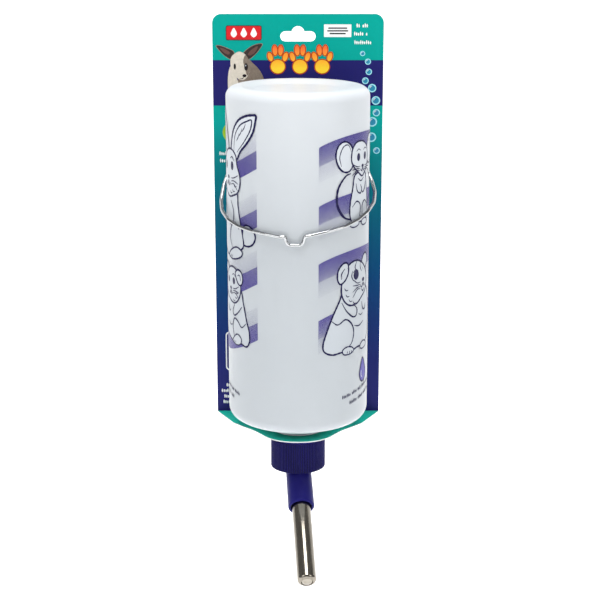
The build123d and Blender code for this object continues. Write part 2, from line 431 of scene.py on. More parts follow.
PAW_EDGE = ink("paw_edge", srgb(176, 62, 22))
PAW_INK = paw_ink()
BADGE_RED = ink("badge_red", srgb(200, 30, 36), 0.4, 0.06)
BADGE_GREEN = ink("badge_green", srgb(140, 176, 44), 0.4, 0.1)
CARD_NAVY = ink("card_navy", srgb(36, 36, 100), 0.4, 0.06)
BUBBLE_RIM = ink("bubble_rim", srgb(150, 214, 222))
BUBBLE_HEART = ink("bubble_heart", srgb(40, 128, 160))

# ---------------------------------------------------------------- bottle

WALL = 1.0
SHOULDER_ANGLE = radians(21.8)
SLOPE = tan(SHOULDER_ANGLE)
NECK_R = 12.6
NECK_BORE_R = 11.4
FOOT_R = 14.0
FOOT_HEIGHT = 1.4
NECK_HEIGHT = 18.9
BASE_RING_R = 32.0
DISH_R = 25.0
DISH_DEPTH = 2.0
BOTTLE_SEGMENTS = 288
# Corner radii from the neck's rim up to the dish, and back down inside
OUTSIDE_RADII = [0.3, 0.5, 0.5, 7.0, 6.0, 2.5, 4.0]
INSIDE_RADII = [3.0, 3.5, 5.0, 6.0, 1.5]
# The parting line stops short of the neck
NECK_CLEAR_R = 20.0
SEAM_RISE = 0.05
SEAM_HALF_W = 0.9
THREAD_PITCH = 4.23
THREAD_TURNS = 1.5
THREAD_START_Z = 3.2
THREAD_STEPS = 96
# The thread ridge's section: radius, and height above its middle
THREAD_SECTION = [(12.4, -1.1), (13.7, -0.5), (13.7, 0.5), (12.4, 1.1)]


def waviness(angle, height):
    """Slight unevenness of a blow-moulded wall."""
    return 0.02 * sin(3 * angle + height / 31) + 0.015 * sin(7 * angle - height / 17)


def blown(angle, radius, height):
    """The wall's unevenness, and the mould's parting line on both sides."""
    if radius < NECK_CLEAR_R:
        return 0
    from_seam = abs(angle % pi - pi / 2) * radius
    return waviness(angle, height) + SEAM_RISE * max(0, 1 - from_seam / SEAM_HALF_W)


def bottle_outside():
    """The outer wall from the neck's rim up to the middle of the base's dish."""
    corners = [(NECK_BORE_R, 0), (NECK_R, 0), (NECK_R, NECK_HEIGHT - FOOT_HEIGHT), (FOOT_R, NECK_HEIGHT),
               (bottle_r, NECK_HEIGHT + (bottle_r - FOOT_R) * SLOPE), (bottle_r, bottle_top),
               (BASE_RING_R, bottle_top), (DISH_R, bottle_top - DISH_DEPTH), (0, bottle_top - DISH_DEPTH)]
    return rounded(corners, OUTSIDE_RADII, 12)


def bottle_inside():
    """The inner wall from the middle of the dish back to the neck's rim."""
    inner_r = bottle_r - WALL
    dish_z = bottle_top - DISH_DEPTH - WALL
    slope_foot = NECK_HEIGHT + WALL / cos(SHOULDER_ANGLE)
    corners = [(0, dish_z), (DISH_R + 0.5, dish_z), (BASE_RING_R + 0.5, bottle_top - WALL),
               (inner_r, bottle_top - WALL), (inner_r, slope_foot + (inner_r - FOOT_R) * SLOPE),
               (NECK_BORE_R, slope_foot + (NECK_BORE_R - FOOT_R) * SLOPE), (NECK_BORE_R, 0)]
    return rounded(corners, INSIDE_RADII)


def make_bottle():
    outline = divide(bottle_outside(), 6.0) + divide(bottle_inside(), 12.0)[:-1]
    shell = revolve("bottle_shell", outline + [outline[0]], BOTTLE_SEGMENTS, PLASTIC, blown)
    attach(shell, "bottle")
    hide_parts("bottle")


def make_neck_thread():
    """The thread ridge round the bottle's neck, closed at both ends."""
    points, faces, corners = [], [], len(THREAD_SECTION)
    for i in range(THREAD_STEPS + 1):
        turns = THREAD_TURNS * i / THREAD_STEPS
        x, y = cos(2 * pi * turns), sin(2 * pi * turns)
        middle = THREAD_START_Z + THREAD_PITCH * turns
        points += [(radius * x, radius * y, middle + rise) for radius, rise in THREAD_SECTION]
    for i in range(THREAD_STEPS):
        for j in range(corners):
            a, b = i * corners + j, i * corners + (j + 1) % corners
            faces.append((a, a + corners, b + corners, b))
    last = THREAD_STEPS * corners
    faces += [(0, 1, 2, 3), (last + 3, last + 2, last + 1, last)]
    thread = add_mesh("neck_thread", points, faces, PLASTIC, smooth=False)
    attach(thread, "bottle")


make_bottle()
make_neck_thread()

# ---------------------------------------------------------------- prints on the bottle

# Distances round the bottle run from its front to the right
PRINT_START = 11.8
PRINT_END = 235.0
STRIPE_PITCH = 33.0
STRIPE_TOP = 195.2
STRIPE_HEIGHT = 19.8

# Films of ink: how far they lie above the surface, and the step from each shape to the one laid over it
STRIPE_LIFT = 0.09
DRAWING_LIFT = 0.12
BOTTLE_STEP = 0.02
CARD_STEP = 0.003
# A line's place in its shape's step, the size of a fill's cells and the spacing of a line's points
LINE_SHARE = 0.6
FILL_CELL = 1.8
LINE_SPACING = 0.7

# Small print: a tick's width, the spacing of ticks and words, and the heights that ticks take in turn
TICK = 0.72
TICK_PITCH = 1.6 * TICK
WORD_GAP = 1.8 * TICK
TICK_HEIGHTS = (1.0, 0.72, 0.85)

STRIPE_COLUMNS = 150
# The places down a stripe's height that get points
STRIPE_ROWS = (0, 0.12, 0.24, 0.36, 0.47, 0.489, 0.545, 0.555, 0.7, 0.85, 1.0)

# Where a stripe's tones meet, as a share of its height, at the print's start and at its end
START_SPLIT = 0.55
END_SPLIT = 0.48
# Runs round the bottle in which the dark tone deepens near the start and the end, and the first order of the
# tones gives way to the last
START_DEEPENS = (15, 50)
END_DEEPENS = (235, 218)
TONES_SWAP = (90, 160)

# How far a stripe's top rises above its start, by distance round the bottle
STRIPE_WAVE = [(0, -6), (11.8, 0), (20.6, 3.4), (30, 5.2), (41, 6.0), (54, 5.6), (75, 3.5), (100, 0), (140, -8),
               (170, -9), (197, -5.2), (208, -4.1), (223, 0.8), (235, 7.1), (247, 14)]


def bend(a, b, c, d, t):
    """A smooth curve's place at t between b and c."""
    return 0.5 * (2 * b + (c - a) * t + (2 * a - 5 * b + 4 * c - d) * t ** 2 + (3 * b - a - 3 * c + d) * t ** 3)


def spline(points, spacing, closed=False):
    """Points along a smooth curve through the given ones."""
    p = [Vector(q) for q in points]
    count = len(p)
    if closed:
        p = [p[-1]] + p + [p[0], p[1]]
    else:
        p = [p[0] * 2 - p[1]] + p + [p[-1] * 2 - p[-2]]
    line = []
    for i in range(count if closed else count - 1):
        a, b, c, d = p[i:i + 4]
        steps = max(2, int((c - b).length / spacing))
        line += [bend(a, b, c, d, k / steps) for k in range(steps)]
    if not closed:
        line.append(p[-2])
    return line


def wave_at(s):
    """How far a stripe's top lies above its start, at a distance round the bottle."""
    for i in range(1, len(STRIPE_WAVE) - 2):
        if s <= STRIPE_WAVE[i + 1][0]:
            break
    (_, a), (x0, b), (x1, c), (_, d) = STRIPE_WAVE[i - 1:i + 3]
    return bend(a, b, c, d, (s - x0) / (x1 - x0))


def on_bottle(s, z, lift):
    """The point at a distance s round the bottle from its front, to the right."""
    angle = s / bottle_r
    radius = bottle_r + waviness(angle, z) + lift
    return (radius * sin(angle), -radius * cos(angle), z)


def smoothstep(low, high, x):
    t = min(1.0, max(0.0, (x - low) / (high - low)))
    return t * t * (3 - 2 * t)


def between(low, high, x, at_low, at_high):
    """A value that runs evenly from one place to another."""
    return at_low + (at_high - at_low) * (x - low) / (high - low)


def ink_at(s, v):
    """Ink cover of a stripe, from its top, v = 0, to its bottom, 1. Its dark tone is on top where the print starts
    and at the bottom where it ends."""
    if v < START_SPLIT:
        first = between(0, START_SPLIT, v, 0.80, 0.48) + 0.16 * smoothstep(*START_DEEPENS, s)
    else:
        first = between(START_SPLIT, 1, v, 0.27, 0.09)
    if v > END_SPLIT:
        last = between(END_SPLIT, 1, v, 0.62, 0.76) + 0.24 * smoothstep(*END_DEEPENS, s)
    else:
        last = between(0, END_SPLIT, v, 0.12, 0.26)
    return between(0, 1, smoothstep(*TONES_SWAP, s), first, last)


def make_stripe(number):
    """One waving stripe, with its ink cover stored at each point."""
    points, ink_values, faces, rows = [], [], [], len(STRIPE_ROWS)
    for i in range(STRIPE_COLUMNS + 1):
        s = between(0, STRIPE_COLUMNS, i, PRINT_START, PRINT_END)
        top = STRIPE_TOP - number * STRIPE_PITCH + wave_at(s)
        points += [(s, top - v * STRIPE_HEIGHT) for v in STRIPE_ROWS]
        ink_values += [ink_at(s, v) for v in STRIPE_ROWS]
    for i in range(STRIPE_COLUMNS):
        for a in range(i * rows, (i + 1) * rows - 1):
            faces.append((a, a + 1, a + rows + 1, a + rows))
    placed = [on_bottle(s, z, STRIPE_LIFT) for s, z in points]
    stripe = add_mesh(f"print_stripe_{number + 1}", placed, faces, HALFTONE)
    layer = stripe.data.uv_layers.new(name="UVMap")
    for loop in stripe.data.loops:
        layer.data[loop.index].uv = points[loop.vertex_index]
    attribute = stripe.data.attributes.new("ink", "FLOAT", "POINT")
    attribute.data.foreach_set("value", ink_values)
    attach(stripe, "bottle")


class Drawing:
    """Filled shapes and drawn lines, laid on a surface by a placing function, each just above the last."""

    def __init__(self, place, lift, step, weight=1.0):
        self.place = place
        self.lift = lift
        self.step = step
        self.weight = weight
        self.layers = {}

    def layer(self, material):
        """The points and faces drawn so far in a material."""
        return self.layers.setdefault(material.name, (material, [], []))[1:]

    def fill(self, outline, material):
        """A filled shape above all earlier ones, cut into small triangles so that it follows the surface."""
        self.lift += self.step
        points, faces = self.layer(material)
        xs, ys = [q.x for q in outline], [q.y for q in outline]
        rows = int((max(ys) - min(ys)) / FILL_CELL)
        columns = int((max(xs) - min(xs)) / FILL_CELL)
        inner = [Vector((min(xs) + FILL_CELL * (i + 0.5), min(ys) + FILL_CELL * (j + 0.5)))
                 for i in range(columns) for j in range(rows)]
        count = len(outline)
        loop = [(i, (i + 1) % count) for i in range(count)]
        flat, _, cut, _, _, _ = delaunay_2d_cdt(list(outline) + inner, loop, [], 1, 1e-4)
        base = len(points)
        points += [self.place(q.x, q.y, self.lift) for q in flat]
        for face in cut:
            a, b, c = (flat[i] for i in face)
            turned = (b - a).cross(c - a) > 0
            faces.append([base + i for i in (face if turned else face[::-1])])

    def stroke(self, outline, width, material, closed=False):
        """A drawn line, thick in the middle and thin at free ends."""
        points, faces = self.layer(material)
        base, count = len(points), len(outline)
        lift = self.lift + LINE_SHARE * self.step
        for i, q in enumerate(outline):
            before = outline[i - 1] if (i or closed) else q
            after = outline[(i + 1) % count] if (i < count - 1 or closed) else q
            along = (after - before).normalized()
            across = Vector((-along.y, along.x))
            swell = 1.0 if closed else 0.5 + 0.7 * sin(pi * i / (count - 1))
            half = across * (width * self.weight / 2 * swell * (1 + 0.12 * sin(q.x * 1.9 + q.y * 1.3)))
            points += [self.place(*(q + half), lift), self.place(*(q - half), lift)]
        for i in range(count if closed else count - 1):
            a, b = base + 2 * i, base + 2 * ((i + 1) % count)
            faces.append((a, a + 1, b + 1, b))

    def curve(self, points, width=0.6, material=None):
        self.stroke(spline(points, LINE_SPACING), width, material or INDIGO_INK)

    def shape(self, points, fill=None, width=0.8, line=None):
        """A closed smooth outline, filled, and then drawn unless its width is 0."""
        outline = spline(points, LINE_SPACING, True)
        self.fill(outline, fill or BARE)
        if width:
            self.stroke(outline, width, line or INDIGO_INK, True)

    def oval(self, x, y, rx, ry, turn=0.0, **how):
        c, n = cos(radians(turn)), sin(radians(turn))
        ring = [(rx * cos(2 * pi * i / 12), ry * sin(2 * pi * i / 12)) for i in range(12)]
        self.shape([(x + a * c - b * n, y + a * n + b * c) for a, b in ring], **how)

    def dot(self, x, y, rx, ry):
        """A solid eye or nose."""
        self.oval(x, y, rx, ry, fill=INDIGO_INK, width=0)

    def finish(self, name, body):
        """Makes a piece for each material drawn with."""
        for key, (material, points, faces) in self.layers.items():
            piece = add_mesh(f"{name}_{key}", points, faces, material)
            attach(piece, body)


def draw_mouse(d):
    d.curve([(36, 152), (28, 154.6), (23.2, 162), (23.6, 171), (28.6, 177.6), (33, 179)], 1.0)
    d.curve([(50, 152), (58, 156), (61, 165), (58, 174), (54, 177)], 0.9)
    d.oval(28.8, 188.7, 6.6, 8.8, 14)
    d.curve([(25.8, 183.6), (24.6, 189), (27, 194.4), (30.8, 195.2), (33.2, 191)], 0.45)
    d.oval(56.0, 190.5, 5.6, 8.6, -12)
    d.curve([(58, 184.6), (59, 190), (57, 195.4), (53.6, 194.6)], 0.45)
    d.shape([(37, 178), (34.6, 170), (32.6, 162), (32.4, 155), (35, 150.4), (41, 150.6), (46, 149.4), (50.8, 152.6),
             (51.8, 160), (50.2, 169), (47.5, 178)])
    d.shape([(34, 192), (37, 195.6), (41, 196.4), (45.6, 195.6), (50, 192.4), (51.6, 187), (50.4, 181.4), (47, 178.2),
             (44, 176.2), (40.4, 178.2), (36, 181.8), (33.4, 186)])
    for x in (39.8, 47.4):
        d.dot(x, 187.4, 1.6, 2.3)
        d.curve([(x - 2.2, 190.8), (x, 192), (x + 2.2, 190.9)], 0.4)
    d.dot(44.4, 182.0, 1.4, 1.0)
    d.curve([(41.8, 180.4), (43.2, 179.2), (44.4, 181), (45.6, 179.2), (46.8, 180.4)])
    for y, reach in ((182.6, 184.2), (181.4, 180.6), (180.3, 177.4)):
        d.curve([(41.4, y - 0.6), (38, y - 0.4), (34, reach)], 0.4)
        d.curve([(46.8, y - 0.6), (50, y - 0.4), (54, reach)], 0.4)
    d.curve([(37.4, 172.8), (38.8, 168.2), (42, 166.6), (43.4, 168.8), (42, 171.6)])
    d.curve([(48.4, 172.6), (47, 168.2), (44.6, 166.8), (43.2, 168.4)])
    d.curve([(39.4, 175.4), (42.4, 173.6), (45.8, 175.2)], 0.45)
    d.curve([(34.2, 159.6), (38.2, 162.4), (41.8, 160), (41.6, 154.4), (39.4, 151)])
    d.curve([(50.6, 159.4), (47.4, 161.8), (44.4, 159.6), (44.2, 154)])
    d.shape([(33.2, 150.4), (36, 152), (40.2, 151), (40.6, 149), (36.6, 147.8), (33, 148.6)], width=0.6)
    d.shape([(44, 150.6), (47.4, 151.6), (50.6, 150.4), (50.2, 148.2), (46.6, 147.6), (43.8, 148.6)], width=0.6)


def draw_guinea_pig(d):
    d.shape([(30, 116), (25.4, 107), (20.6, 98), (16.8, 89), (14.6, 82), (15.4, 77.6), (20.4, 75.2), (27, 75.6),
             (33, 74.6), (40, 76.2), (48, 76.4), (54.4, 80), (57.4, 88), (56.6, 99), (53, 109), (44, 114)])
    d.oval(48.6, 126.0, 3.8, 4.8, -24)
    d.shape([(29.4, 124), (33.6, 127.4), (39.6, 128), (46, 125), (50.8, 119.4), (52, 113.4), (49.6, 108.4),
             (44.6, 105.4), (39.4, 102.6), (33, 102.6), (28.4, 106), (26.4, 111.6), (27, 118)])
    d.shape([(31, 127.4), (27.6, 128), (24.2, 124.6), (23.6, 119.4), (25.6, 116.2), (29.2, 118), (31.6, 122.4)])
    d.curve([(28.8, 125), (26.4, 122), (26.2, 118.8)], 0.5)
    d.curve([(39, 127.6), (37.4, 124.6), (38.4, 121.8)], 0.5)
    d.curve([(43, 126.6), (42.8, 123.4), (44.6, 120.6)], 0.45)
    d.dot(38.6, 119.6, 2.6, 2.9)
    d.curve([(35.2, 122.6), (34.4, 119.4), (36, 116.4)], 0.5)
    d.curve([(35.6, 121.2), (38, 122.8), (40.8, 121.4)], 0.45)
    d.dot(46.8, 115.4, 1.7, 1.2)
    d.curve([(43.2, 112.6), (45, 111), (46.8, 113.6), (48.2, 111.2), (50, 112.8)])
    d.curve([(44.6, 110.2), (46.4, 108.6), (48.2, 110.2)])
    for y, reach in ((115.2, 117.4), (113.8, 113.6), (112.4, 109.8), (111.2, 106.6)):
        d.curve([(43.4, y - 0.8), (39.6, y - 0.6), (35.4, reach)], 0.42)
    for x, y in ((28.6, 113.4), (29.6, 109.6), (32, 106.4), (35.6, 104.6)):
        d.curve([(x, y), (x + 1.2, y - 1.6), (x + 3, y - 1.4)], 0.4)
    d.curve([(26.6, 105.2), (30.4, 99.6), (35.6, 95.4), (39, 95.8), (39.4, 99.6), (35.6, 103)])
    d.curve([(45, 102.6), (46.6, 98), (49.6, 97.4), (50.4, 100.4)])
    d.curve([(19.6, 95.4), (24, 92.6), (29.6, 94.8), (34.4, 91.6), (36.6, 86.4), (35.2, 80.6), (31.6, 77.4)])
    d.curve([(37, 89.8), (42, 88.8), (47.4, 90.6)], 0.5)
    d.curve([(41.4, 96.2), (43.8, 94.8), (46.4, 95.6)], 0.4)
    d.shape([(27.4, 76.6), (30.6, 78.2), (35, 77.4), (36.6, 75.2), (33.4, 73.6), (28.6, 74)], width=0.6)
    for x in (31.0, 32.8, 34.4):
        d.curve([(x, 74), (x + 0.4, 75.6)], 0.4)
    d.shape([(43.6, 76.8), (47.4, 78.4), (51.4, 77), (51.8, 75), (47.6, 73.8), (43.8, 74.6)], width=0.6)


def draw_rabbit(d):
    d.shape([(-34.6, 148), (-30.6, 149.4), (-26.8, 147), (-25.4, 143), (-27.4, 139), (-31.4, 137.4), (-35.4, 139)])
    d.shape([(-41.6, 168), (-39.4, 159), (-37.6, 151), (-35.4, 143), (-34.6, 137), (-38, 134),
             (-44, 132.8), (-49.6, 129.6), (-56, 129.6), (-62, 135), (-64, 146), (-61.6, 158), (-57, 167)])
    d.shape([(-55.2, 188), (-60.4, 196.4), (-63.6, 205.6), (-61, 212.4), (-56.4, 207.6), (-52.4, 198),
             (-50.6, 189.6)])
    d.curve([(-54.4, 192.4), (-58, 199), (-60.4, 206.6), (-57.2, 203.6), (-53.6, 195.6)], 0.45)
    d.shape([(-46.4, 186.4), (-46.4, 194), (-43.8, 202), (-38.6, 208), (-32, 211.2), (-26.4, 212.2), (-24.4, 212),
             (-24.6, 209.6), (-26.6, 202.4), (-31.2, 196), (-36.6, 190.8), (-40.8, 185.4)], width=1.0)
    d.curve([(-43.4, 190), (-42, 199), (-37, 205.4), (-31, 208.4), (-27.4, 209.2), (-28.6, 203.4), (-33.4, 196.6),
             (-40, 190)], 0.55)
    for x, y in ((-40.4, 196.4), (-37.8, 199.4), (-35, 202.2)):
        d.curve([(x, y), (x + 1.8, y + 2.2), (x + 3, y + 4.6)], 0.4)
    d.shape([(-41.4, 188), (-40, 182.4), (-37.6, 177.4), (-37.2, 172.2), (-39.4, 167.2), (-44, 165),
             (-50, 163.6), (-55.4, 166.4), (-59, 171), (-60, 178), (-58, 185), (-53, 190), (-46.6, 191)])
    d.dot(-45.8, 181.6, 1.8, 2.6)
    d.dot(-55.4, 181.2, 1.6, 2.5)
    d.curve([(-48.4, 185.6), (-45.8, 186.8), (-43.4, 185.4)], 0.45)
    d.dot(-51.4, 174.6, 1.6, 1.1)
    d.curve([(-54.6, 171.8), (-53, 170), (-51.4, 172.6), (-49.8, 170), (-48, 171.8)])
    for y, reach in ((174.4, 177), (172.6, 172), (170.8, 167.4)):
        d.curve([(-47.6, y), (-43.6, y + 0.6), (-38.8, reach)], 0.42)
    for x, y in ((-40.6, 170.6), (-42.4, 167.6), (-45.6, 166.4)):
        d.curve([(x, y), (x - 1.8, y - 0.6), (x - 3, y + 0.6)], 0.4)
    d.curve([(-47.8, 161.6), (-44.4, 156), (-44.8, 150), (-48.8, 147.4), (-51.4, 149.6)])
    d.curve([(-58, 158.6), (-55.6, 153), (-52.4, 150)])
    d.curve([(-38.4, 146), (-42.6, 149.6), (-47.8, 146.4), (-49.4, 139.8), (-46.4, 134.4)])
    d.shape([(-36, 133.6), (-41, 135.4), (-47.4, 133), (-51.4, 129.4), (-47, 127.6), (-40.4, 128.8),
             (-36.2, 131)], width=0.7)
    for x in (-48.4, -46.6):
        d.curve([(x, 128.4), (x + 0.6, 130.2)], 0.4)


def draw_hamster(d):
    d.shape([(-39, 112), (-35.2, 103), (-32.8, 94), (-30.6, 87.2), (-30.4, 81.4), (-33, 77.8), (-39, 78.8),
             (-46, 78.2), (-53, 79.8), (-59.4, 83), (-61.4, 93), (-58.6, 104), (-53, 110)])
    d.oval(-56.6, 120, 3.2, 4.2, 16)
    d.shape([(-39.6, 119.4), (-44, 122.4), (-50, 122.4), (-55.6, 118.6), (-58.4, 112), (-56.6, 106),
             (-51.4, 102.6), (-44.8, 101.6), (-39.8, 104.8), (-37.6, 111)])
    d.shape([(-43.4, 119.6), (-40.4, 122.2), (-36.8, 121), (-35.6, 116.6), (-37.4, 113.4), (-40.6, 114.4)])
    d.curve([(-41, 118.4), (-38.6, 119.2), (-37.6, 116.2)], 0.45)
    d.dot(-45.4, 114.6, 1.7, 2.1)
    d.dot(-53.4, 114.4, 1.5, 2.0)
    d.curve([(-47.6, 117.8), (-45.4, 118.8), (-43.4, 117.4)], 0.4)
    d.dot(-49.8, 109.8, 1.4, 1.0)
    d.curve([(-52.2, 107.6), (-51, 106.2), (-49.8, 108.4), (-48.6, 106.2), (-47.2, 107.6)])
    for y, reach in ((110.6, 112.4), (109.2, 108.6), (107.8, 104.8)):
        d.curve([(-46.8, y - 0.6), (-43.2, y - 0.2), (-39.2, reach)], 0.4)
    for x, y in ((-40, 108.6), (-41, 105.6), (-43.6, 103.6)):
        d.curve([(x, y), (x - 1.6, y - 0.8), (x - 2.8, y + 0.2)], 0.38)
    d.curve([(-36.4, 101), (-40.6, 96.6), (-45, 94.2), (-47, 96.6), (-44.6, 100.8)])
    d.curve([(-56, 99), (-52.6, 95.4), (-50.4, 96.8)])
    d.curve([(-33, 91.6), (-37, 88.6), (-41, 91.6), (-45, 92.4), (-47.2, 87.2), (-45.2, 81.4)])
    d.curve([(-47, 88.4), (-51, 87.4), (-54.4, 89)], 0.45)
    d.shape([(-37.4, 81.6), (-41.6, 83.6), (-46, 80.6), (-47, 78.4), (-42.6, 77), (-38.4, 78.2)], width=0.6)
    for x in (-45.4, -43.8):
        d.curve([(x, 77.8), (x + 0.4, 79.4)], 0.38)


def small_print(d, start, z, words, height, material, slope=0.0):
    """A row of tick marks that stands for small print: each word is a number of ticks."""
    x = start
    for word, count in enumerate(words):
        for i in range(count):
            tall = height * TICK_HEIGHTS[(word + 2 * i) % 3]
            foot = Vector((x, z + slope * (x - start)))
            d.stroke([foot, foot + Vector((0, tall / 2)), foot + Vector((0, tall))], TICK, material)
            x += TICK_PITCH
        x += WORD_GAP


def draw_notes(d):
    """A water drop and rows of marks in place of the bottle's lettering."""
    d.shape([(47.6, 68), (44.4, 62.4), (43.4, 58.2), (45, 54.6), (48, 53.4), (51, 54.6), (52.4, 58.2), (51, 62.6)],
            fill=HALF_VIOLET, width=1.0)
    d.curve([(46, 60.6), (45.6, 57.8), (47, 55.8)], 0.7, BARE)
    small_print(d, 28.0, 47.0, (6, 4, 3, 5, 4, 6), 2.4, INDIGO_INK, 0.14)
    small_print(d, 34.0, 42.6, (6, 5, 4, 3, 5), 2.4, INDIGO_INK, 0.14)
    small_print(d, -64.0, 49.6, (4, 6, 3, 5), 2.2, INDIGO_INK, -0.14)
    small_print(d, -64.0, 45.2, (5, 4, 4), 2.2, INDIGO_INK, -0.14)


# Each drawing's name, its function and the weight of its lines
DRAWINGS = [("mouse", draw_mouse, 1.3), ("guinea_pig", draw_guinea_pig, 1.35), ("rabbit", draw_rabbit, 1.4),
            ("hamster", draw_hamster, 1.35), ("notes", draw_notes, 1.0)]

for number in range(4):
    make_stripe(number)
for name, drawer, weight in DRAWINGS:
    drawing = Drawing(on_bottle, DRAWING_LIFT, BOTTLE_STEP, weight)
    drawer(drawing)
    drawing.finish(f"print_{name}", "bottle")

# ---------------------------------------------------------------- display card

HANG_Z = 248.6
FLAP_TILT = radians(3.6)
FOLD_R = 1.4
CARD_CORNER_R = 5.4
SLOT_HALF = 7.5
SLOT_R = 3.0
# The hanging slot's raised round centre: its radius, its middle above the slot's and the angle where it starts
SLOT_BUMP_R = 3.85
SLOT_BUMP_RISE = 2.15
SLOT_BUMP_START = 12.8
FLAP_HOLE_R = 14.2
# The right side of the flap: x, and distance from the fold
FLAP_CORNER = [(card_half_w, FOLD_R), (card_half_w - 0.8, 3.2)]
FLAP_SIDE = [(39.4, 28.5), (33.2, 36.8), (27.0, 44.6), (22.4, 52.2), (18.4, 59.4), (12.6, 65.4), (6.4, 68.4),
             (0, 69.2)]


def panel_outline():
    """The panel from its fold line up, in x and z."""
    x, z = card_half_w - CARD_CORNER_R, card_top - CARD_CORNER_R
    foot = [Vector((-card_half_w, card_bottom + FOLD_R)), Vector((card_half_w, card_bottom + FOLD_R))]
    return foot + arc(x, z, CARD_CORNER_R, 0, 90) + arc(-x, z, CARD_CORNER_R, 90, 180)


def hang_hole():
    """A wide slot with a raised round centre."""
    return (arc(SLOT_HALF, HANG_Z, SLOT_R, -90, 90)
            + arc(0, HANG_Z + SLOT_BUMP_RISE, SLOT_BUMP_R, SLOT_BUMP_START, 180 - SLOT_BUMP_START)
            + arc(-SLOT_HALF, HANG_Z, SLOT_R, 90, 270))


def flap_outline():
    """The flap in x and distance from the fold, from the fold's right end round the nose to its left."""
    right = [Vector(q) for q in FLAP_CORNER] + spline(FLAP_SIDE, 1.5)
    return right + [Vector((-q.x, q.y)) for q in reversed(right[:-1])]


def on_panel(q, depth):
    return (q.x, card_front_y + depth, q.y)


def on_flap(q, depth):
    """depth is measured from the flap's upper face, which is the panel's front face folded over."""
    return (q.x, card_back_y - q.y * cos(FLAP_TILT), card_bottom + q.y * sin(FLAP_TILT) + card_t - depth)


def inside(q, outline):
    """Whether a point lies within a closed outline."""
    result = False
    for a, b in zip(outline, outline[1:] + outline[:1]):
        if (a.y > q.y) != (b.y > q.y) and q.x < (b.x - a.x) * (q.y - a.y) / (b.y - a.y) + a.x:
            result = not result
    return result


def card_mesh(name, points, faces, kinds, materials, smooth):
    """A mesh that gives each face the material of its kind."""
    piece = add_mesh(name, points, faces, materials[0], smooth)
    for material in materials[1:]:
        piece.data.materials.append(material)
    for polygon, kind in zip(piece.data.polygons, kinds):
        polygon.material_index = kind
    return piece


def sheet_piece(name, outline, hole, place, front, back):
    """A flat sheet with one hole and real thickness: printed front, plain back and white cut edges."""
    count, rim = len(outline), len(hole)
    loops = [(i, (i + 1) % count) for i in range(count)]
    loops += [(count + i, count + (i + 1) % rim) for i in range(rim)]
    flat, _, cut, _, _, _ = delaunay_2d_cdt(list(outline) + list(hole), loops, [], 2, 1e-4)
    keep = []
    for face in cut:
        centre = sum((flat[i] for i in face), Vector((0, 0))) / len(face)
        if not inside(centre, hole) and inside(centre, outline):
            keep.append(face)
    points = [place(q, 0) for q in flat] + [place(q, card_t) for q in flat]
    total = len(flat)
    faces = [list(f) for f in keep] + [[total + i for i in reversed(f)] for f in keep]
    kinds = [0] * len(keep) + [1] * len(keep)
    edges = dict.fromkeys((a, b) for face in keep for a, b in zip(face, list(face[1:]) + [face[0]]))
    for a, b in edges:
        if (b, a) not in edges:
            faces.append([b, a, total + a, total + b])
            kinds.append(2)
    return card_mesh(name, points, faces, kinds, (front, back, CARD_WHITE), smooth=False)


def make_fold():
    """The rounded crease between the panel and the flap."""
    points, steps = [], 8
    end = pi / 2 - FLAP_TILT
    cy, cz = card_back_y - FOLD_R, card_bottom + FOLD_R
    for i in range(steps + 1):
        a = end * i / steps
        for r in (FOLD_R - card_t, FOLD_R):
            for x in (-card_half_w, card_half_w):
                points.append((x, cy + r * cos(a), cz - r * sin(a)))
    faces = []
    for i in range(steps):
        a, b = 4 * i, 4 * (i + 1)
        faces += [(a, a + 1, b + 1, b), (a + 2, b + 2, b + 3, a + 3)]
        faces += [(a, b, b + 2, a + 2), (a + 1, a + 3, b + 3, b + 1)]
    materials = (CARD_FRONT, CARD_BACK, CARD_WHITE)
    return card_mesh("card_fold", points, faces, [0, 1, 2, 2] * steps, materials, smooth=True)


def make_card():
    panel = sheet_piece("card_panel", panel_outline(), hang_hole(), on_panel, CARD_FRONT, CARD_BACK)
    middle = card_back_y / cos(FLAP_TILT)
    neck = arc(0, middle, FLAP_HOLE_R, 0, 360, 48)[:-1]
    flap = sheet_piece("card_flap", flap_outline(), neck, on_flap, FLAP_TEAL, CARD_BACK)
    fold = make_fold()
    for piece in (panel, flap, fold):
        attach(piece, "card")
    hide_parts("display_card")


make_card()

# ---------------------------------------------------------------- prints on the card


def on_card(x, z, lift):
    return (x, card_front_y - lift, z)


